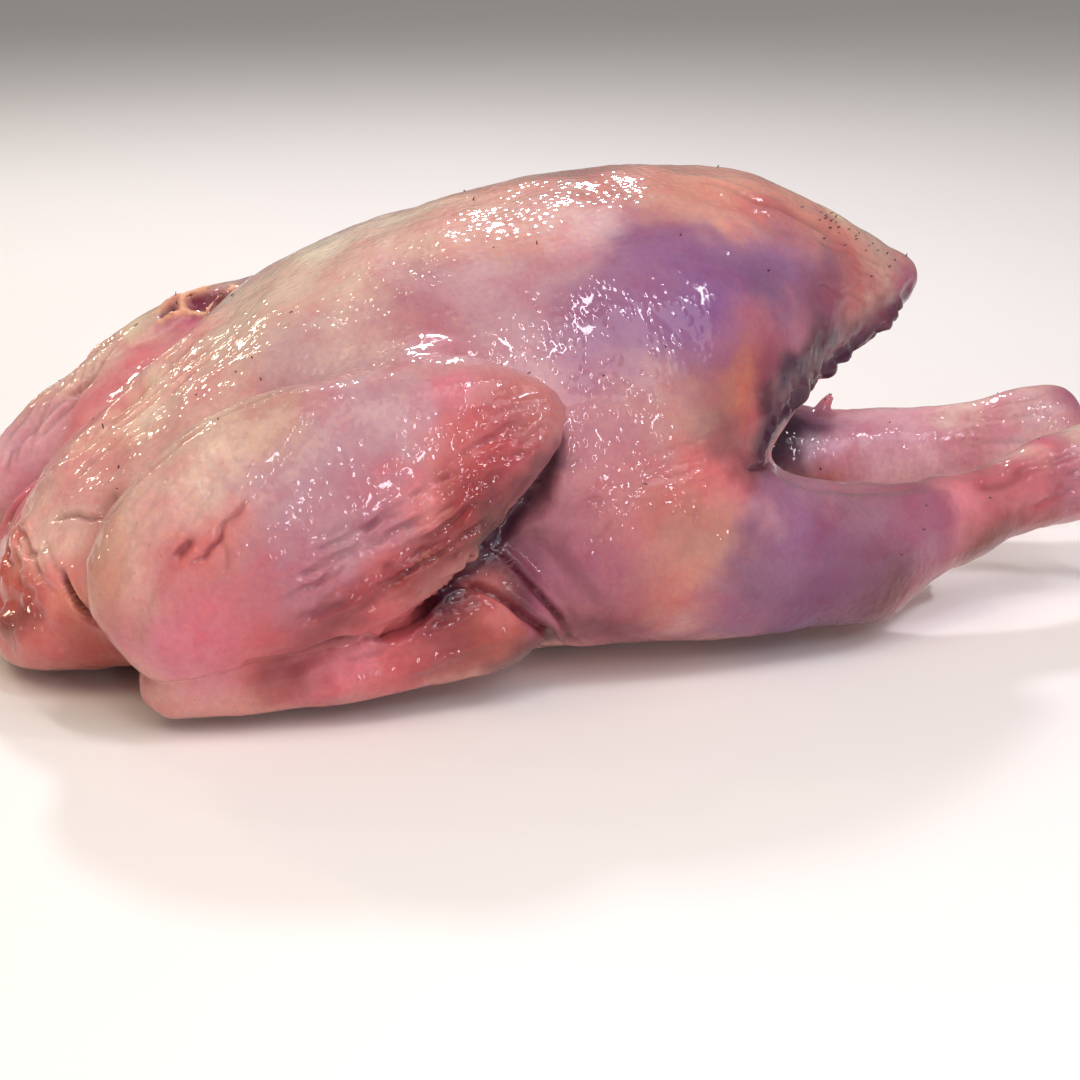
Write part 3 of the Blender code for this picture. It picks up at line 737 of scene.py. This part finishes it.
skin = {
    "shader": {
        "Roughness": 0.5, "IOR": 1.38, "Specular IOR Level": 0.2,
        # thin skin over pale meat lets light a few mm in, red the farthest
        "Subsurface Weight": 0.22, "Subsurface Scale": 0.0035, "Subsurface Radius": (1.0, 0.45, 0.35),
        # the film of its own juice
        "Coat Weight": 0.9, "Coat Roughness": 0.05, "Coat IOR": 1.36,
    },
    # sizes and heights in mm
    "blotchSize": 42, "mottleSize": 13, "fleckSize": 2.2,
    "grainSize": 1.3, "grainHeight": 0.10,
    "filmSize": 6.5, "filmWaves": 0.22, "filmDomes": 0.20,    # the juice lies uneven, and over the follicles
    "follicleSpacing": 3.7, "follicleHeight": 0.15, "follicleStretch": (1, 1, 0.75), "follicleChance": 0.75,
    "domeEdge": (0.08, 0.62), "poreEdge": (0.05, 0.16), "poreShare": 0.28, "pore": "#a03d50",
    # painted shade for the creases: its dark red, and how much of it
    "creaseShadeColour": "#6e2430", "creaseShadeShare": 0.8,
    # mottling multiplies the colour under it, between these heights of its noise
    "redder": ((0.48, 0.70), (1.02, 0.76, 0.80)), "paler": ((0.50, 0.30), (1.14, 1.22, 1.16)),
    "streak": ((0.50, 0.72), (0.97, 0.76, 0.82)),
    "fleckEdge": (0.34, 0.66), "warmFleck": (1.07, 1.05, 0.97), "coolFleck": (0.93, 0.91, 0.99),
}


def turkeySkin():
    # Raw turkey skin, plucked and wet: goose-bump follicles break its gloss into sparkles, blood and fat
    # under it show as mottling, and a little light goes into it.
    material, tree, shader = newMaterial("rawTurkeySkin")
    place = addNode(tree, "TexCoord").outputs["Object"]
    tint = addNode(tree, "Attribute", attribute_name="skinTint").outputs["Color"]
    feathered = addNode(tree, "Attribute", attribute_name="follicles").outputs["Fac"]
    shadedCreases = addNode(tree, "Attribute", attribute_name="creaseShade").outputs["Fac"]

    blotch = noiseOf(tree, place, skin["blotchSize"], 5, 0.6, 0.6)
    mottle = noiseOf(tree, place, skin["mottleSize"], 6, 0.62)
    for pattern, name in ((blotch, "redder"), (blotch, "paler"), (mottle, "streak")):
        limits, factor = skin[name]
        tint = mixed(tree, ramp(tree, pattern, *limits), tint, factor, "MULTIPLY")

    # Fat shows through as small warm flecks, veins as cool ones, and painted shade darkens the creases in
    # dark red
    fleck = ramp(tree, noiseOf(tree, place, skin["fleckSize"], 4, 0.7), *skin["fleckEdge"])
    tint = mixed(tree, 1.0, tint, mixed(tree, fleck, skin["coolFleck"], skin["warmFleck"]), "MULTIPLY")
    tint = mixed(tree, reckon(tree, "MULTIPLY", shadedCreases, skin["creaseShadeShare"]), tint, skin["creaseShadeColour"])

    # The follicles stand in loose rows, each a low dome with a small dark pore
    stretched = addNode(tree, "VectorMath", {0: place, 1: skin["follicleStretch"]}, operation="MULTIPLY")
    away = addNode(tree, "TexVoronoi", {"Vector": stretched.outputs["Vector"],
                                        "Scale": 1000 / skin["follicleSpacing"],
                                        "Randomness": skin["follicleChance"]}).outputs["Distance"]
    dome = ramp(tree, away, *skin["domeEdge"], 1.0, 0.0, interpolation_type="SMOOTHSTEP")
    dome = reckon(tree, "MULTIPLY", dome, feathered)
    pore = ramp(tree, away, *skin["poreEdge"], skin["poreShare"], 0.0)
    tint = mixed(tree, reckon(tree, "MULTIPLY", pore, feathered), tint, skin["pore"])

    grain = reckon(tree, "MULTIPLY", noiseOf(tree, place, skin["grainSize"], 3), skin["grainHeight"])
    relief = reckon(tree, "MULTIPLY_ADD", dome, skin["follicleHeight"], grain)
    film = noiseOf(tree, place, skin["filmSize"], 1.5, 0.4)
    filmRelief = reckon(tree, "MULTIPLY_ADD", film, skin["filmWaves"],
                        reckon(tree, "MULTIPLY", dome, skin["filmDomes"]))
    for height, socket in ((relief, "Normal"), (filmRelief, "Coat Normal")):
        bump = addNode(tree, "Bump", {"Height": height, "Distance": mm, "Strength": 1.0})
        tree.links.new(bump.outputs["Normal"], shader.inputs[socket])
    tree.links.new(tint, shader.inputs["Base Color"])
    for name, value in skin["shader"].items():
        shader.inputs[name].default_value = value
    print("material", material.name)
    return material


bird = makeBody()
foldAndCrease(bird)
paintSkin(bird)
bird.data.materials.append(turkeySkin())
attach(bird, "root")
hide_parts("turkey")
bird.data.shade_smooth()


quills = {
    "length": 1.1, "radius": 0.26, "depth": 0.9,    # mm, and how deep each sits in the skin
    "lean": 0.9, "crooked": 0.35,    # how far each lies back towards the tail, and to any side
    "lengths": (0.5, 1.4), "radii": (0.6, 1.3), "leans": (0.3, 1.4), "taper": 0.55,
    "scattered": 90, "from": (-190, -130, 30), "to": (230, 130, 170), "leastFeathered": 0.9,
    "keel": 26, "keelMiddle": (118, -22, 150), "keelReach": (13, 6, 7),    # thickest on the tip of the breast
    "horn": "#3a2419", "sheath": "#241510", "streakSize": 0.625, "roughness": 0.35, "ior": 1.54,
}


def quillKeratin():
    # Keratin, the horn of a broken quill: dark, dense and smooth, with fine streaks along it
    material, tree, shader = newMaterial("quillKeratin")
    streaks = noiseOf(tree, addNode(tree, "TexCoord").outputs["Object"], quills["streakSize"], 2)
    tree.links.new(mixed(tree, streaks, quills["horn"], quills["sheath"]), shader.inputs["Base Color"])
    shader.inputs["Roughness"].default_value = quills["roughness"]
    shader.inputs["IOR"].default_value = quills["ior"]
    return material


def makeQuills(bird):    # bits of quill that plucking left in the skin
    points = pointsOf(bird.data)
    tree = treeOf(points)
    draw = np.random.default_rng(9)
    feathered = bird.data.attributes["follicles"].data
    parts = []
    while len(parts) < quills["scattered"] + quills["keel"]:
        if len(parts) < quills["keel"]:
            aim = draw.normal(quills["keelMiddle"], quills["keelReach"])
        else:
            aim = draw.uniform(quills["from"], quills["to"])
        nearest = tree.find(aim)[1]
        if feathered[nearest].value < quills["leastFeathered"]:
            continue
        root, out = points[nearest], np.array(bird.data.vertices[nearest].normal)
        lean = np.array((quills["lean"], 0, 0)) * draw.uniform(*quills["leans"])
        along = out + lean + draw.normal(0, quills["crooked"], 3)
        along = along / np.linalg.norm(along)
        length = quills["length"] * draw.uniform(*quills["lengths"])
        radius = quills["radius"] * draw.uniform(*quills["radii"])
        path = [root - along * quills["depth"], root + along * length * 0.5, root + along * length]
        parts.append(tube(path, [radius, radius, radius * quills["taper"]], around=6))
    stubs = meshOf("quillStubs", parts)
    stubs.data.materials.append(quillKeratin())
    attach(stubs, "root")
    stubs.data.shade_smooth()
    print("quill stubs", len(parts))


makeQuills(bird)


studio = {
    "floor": "#f4f3f1", "floorShade": "#eeebe8", "floorRoughness": 0.7,
    "floorSize": 8, "shadeSize": 1000 / 3,    # m, and mm
    "world": "#fbf7f2", "worldStrength": 0.24,
    "cool": "#fbf6ff", "warm": "#fff0d2", "middle": (0, 0, 0.09),
    # towards each lamp from the middle, its distance, width and height in m, its watts and its tint
    "lamps": [
        ((0.12, 0.73, 0.67), 1.5, 0.16, 0.16, 8, "cool"),
        ((0.10, -0.40, 0.91), 1.5, 0.08, 0.42, 3.8, "cool"),
        ((0.44, -0.44, 0.78), 1.5, 0.08, 0.24, 2.3, "cool"),
        ((0.36, -0.91, 0.18), 1.6, 0.05, 0.40, 2.4, "cool"),
        ((0.06, -0.86, 0.50), 1.6, 0.07, 0.40, 2.6, "cool"),
        ((-0.05, -0.98, 0.19), 1.6, 0.08, 0.25, 1.8, "cool"),
        ((-0.23, 0.56, 0.80), 1.5, 0.08, 0.08, 0.7, "warm"),
        ((-0.48, 0.76, 0.43), 1.5, 0.08, 0.25, 2.2, "warm"),
        ((-0.95, 0.22, 0.24), 1.5, 0.10, 0.10, 1.2, "warm"),
        # the two large soft ones
        ((-0.45, -0.40, 0.80), 1.6, 0.90, 0.90, 8, "warm"),
        ((0.30, -0.66, 0.69), 1.8, 1.00, 1.00, 9, "cool"),
    ],
}


def paintedBoard():
    # Matt painted board, plain, with a trace of unevenness in the paint
    material, tree, shader = newMaterial("mattPaintedBoard")
    uneven = noiseOf(tree, addNode(tree, "TexCoord").outputs["Object"], studio["shadeSize"], 3)
    shade = mixed(tree, uneven, studio["floor"], studio["floorShade"])
    tree.links.new(shade, shader.inputs["Base Color"])
    shader.inputs["Roughness"].default_value = studio["floorRoughness"]
    return material


def makeStudio():
    bpy.context.scene.view_settings.view_transform = "Standard"    # the colours above come out as they are
    world = bpy.data.worlds.new("studio")
    world.use_nodes = True
    sky = world.node_tree.nodes["Background"]
    sky.inputs["Color"].default_value = (*hexColour(studio["world"]), 1)
    sky.inputs["Strength"].default_value = studio["worldStrength"]
    bpy.context.scene.world = world
    half = studio["floorSize"] / 2
    mesh = bpy.data.meshes.new("floor")
    corners = [(-half, -half, 0), (half, -half, 0), (half, half, 0), (-half, half, 0)]
    mesh.from_pydata(corners, [], [(0, 1, 2, 3)])
    mesh.materials.append(paintedBoard())
    floor = placed("floor", mesh)
    for k, (towards, distance, width, height, watts, tint) in enumerate(studio["lamps"]):
        towards = Vector(towards).normalized()
        data = bpy.data.lights.new(f"lamp{k}", "AREA")
        data.shape = "RECTANGLE"
        data.size, data.size_y = width, height
        data.energy = watts
        data.color = hexColour(studio[tint])
        lamp = placed(f"lamp{k}", data)
        lamp.location = Vector(studio["middle"]) + towards * distance
        lamp.rotation_euler = towards.to_track_quat("Z", "Y").to_euler()
    print("studio with", len(studio["lamps"]), "lamps")


camera = {
    "azimuth": -15, "elevation": 18,    # degrees: from the bird's right, a little from the neck end
    "distance": 1.0, "lens": 83.3,
    "target": (0, 0, 0.028),
}


def placeCamera():
    azimuth, elevation = math.radians(camera["azimuth"]), math.radians(camera["elevation"])
    level = math.cos(elevation)
    back = Vector((math.sin(azimuth) * level, -math.cos(azimuth) * level, math.sin(elevation)))
    data = bpy.data.cameras.new("camera")
    data.lens = camera["lens"]
    obj = placed("camera", data)
    obj.location = Vector(camera["target"]) + back * camera["distance"]
    obj.rotation_euler = back.to_track_quat("Z", "Y").to_euler()
    bpy.context.scene.camera = obj


makeStudio()
placeCamera()
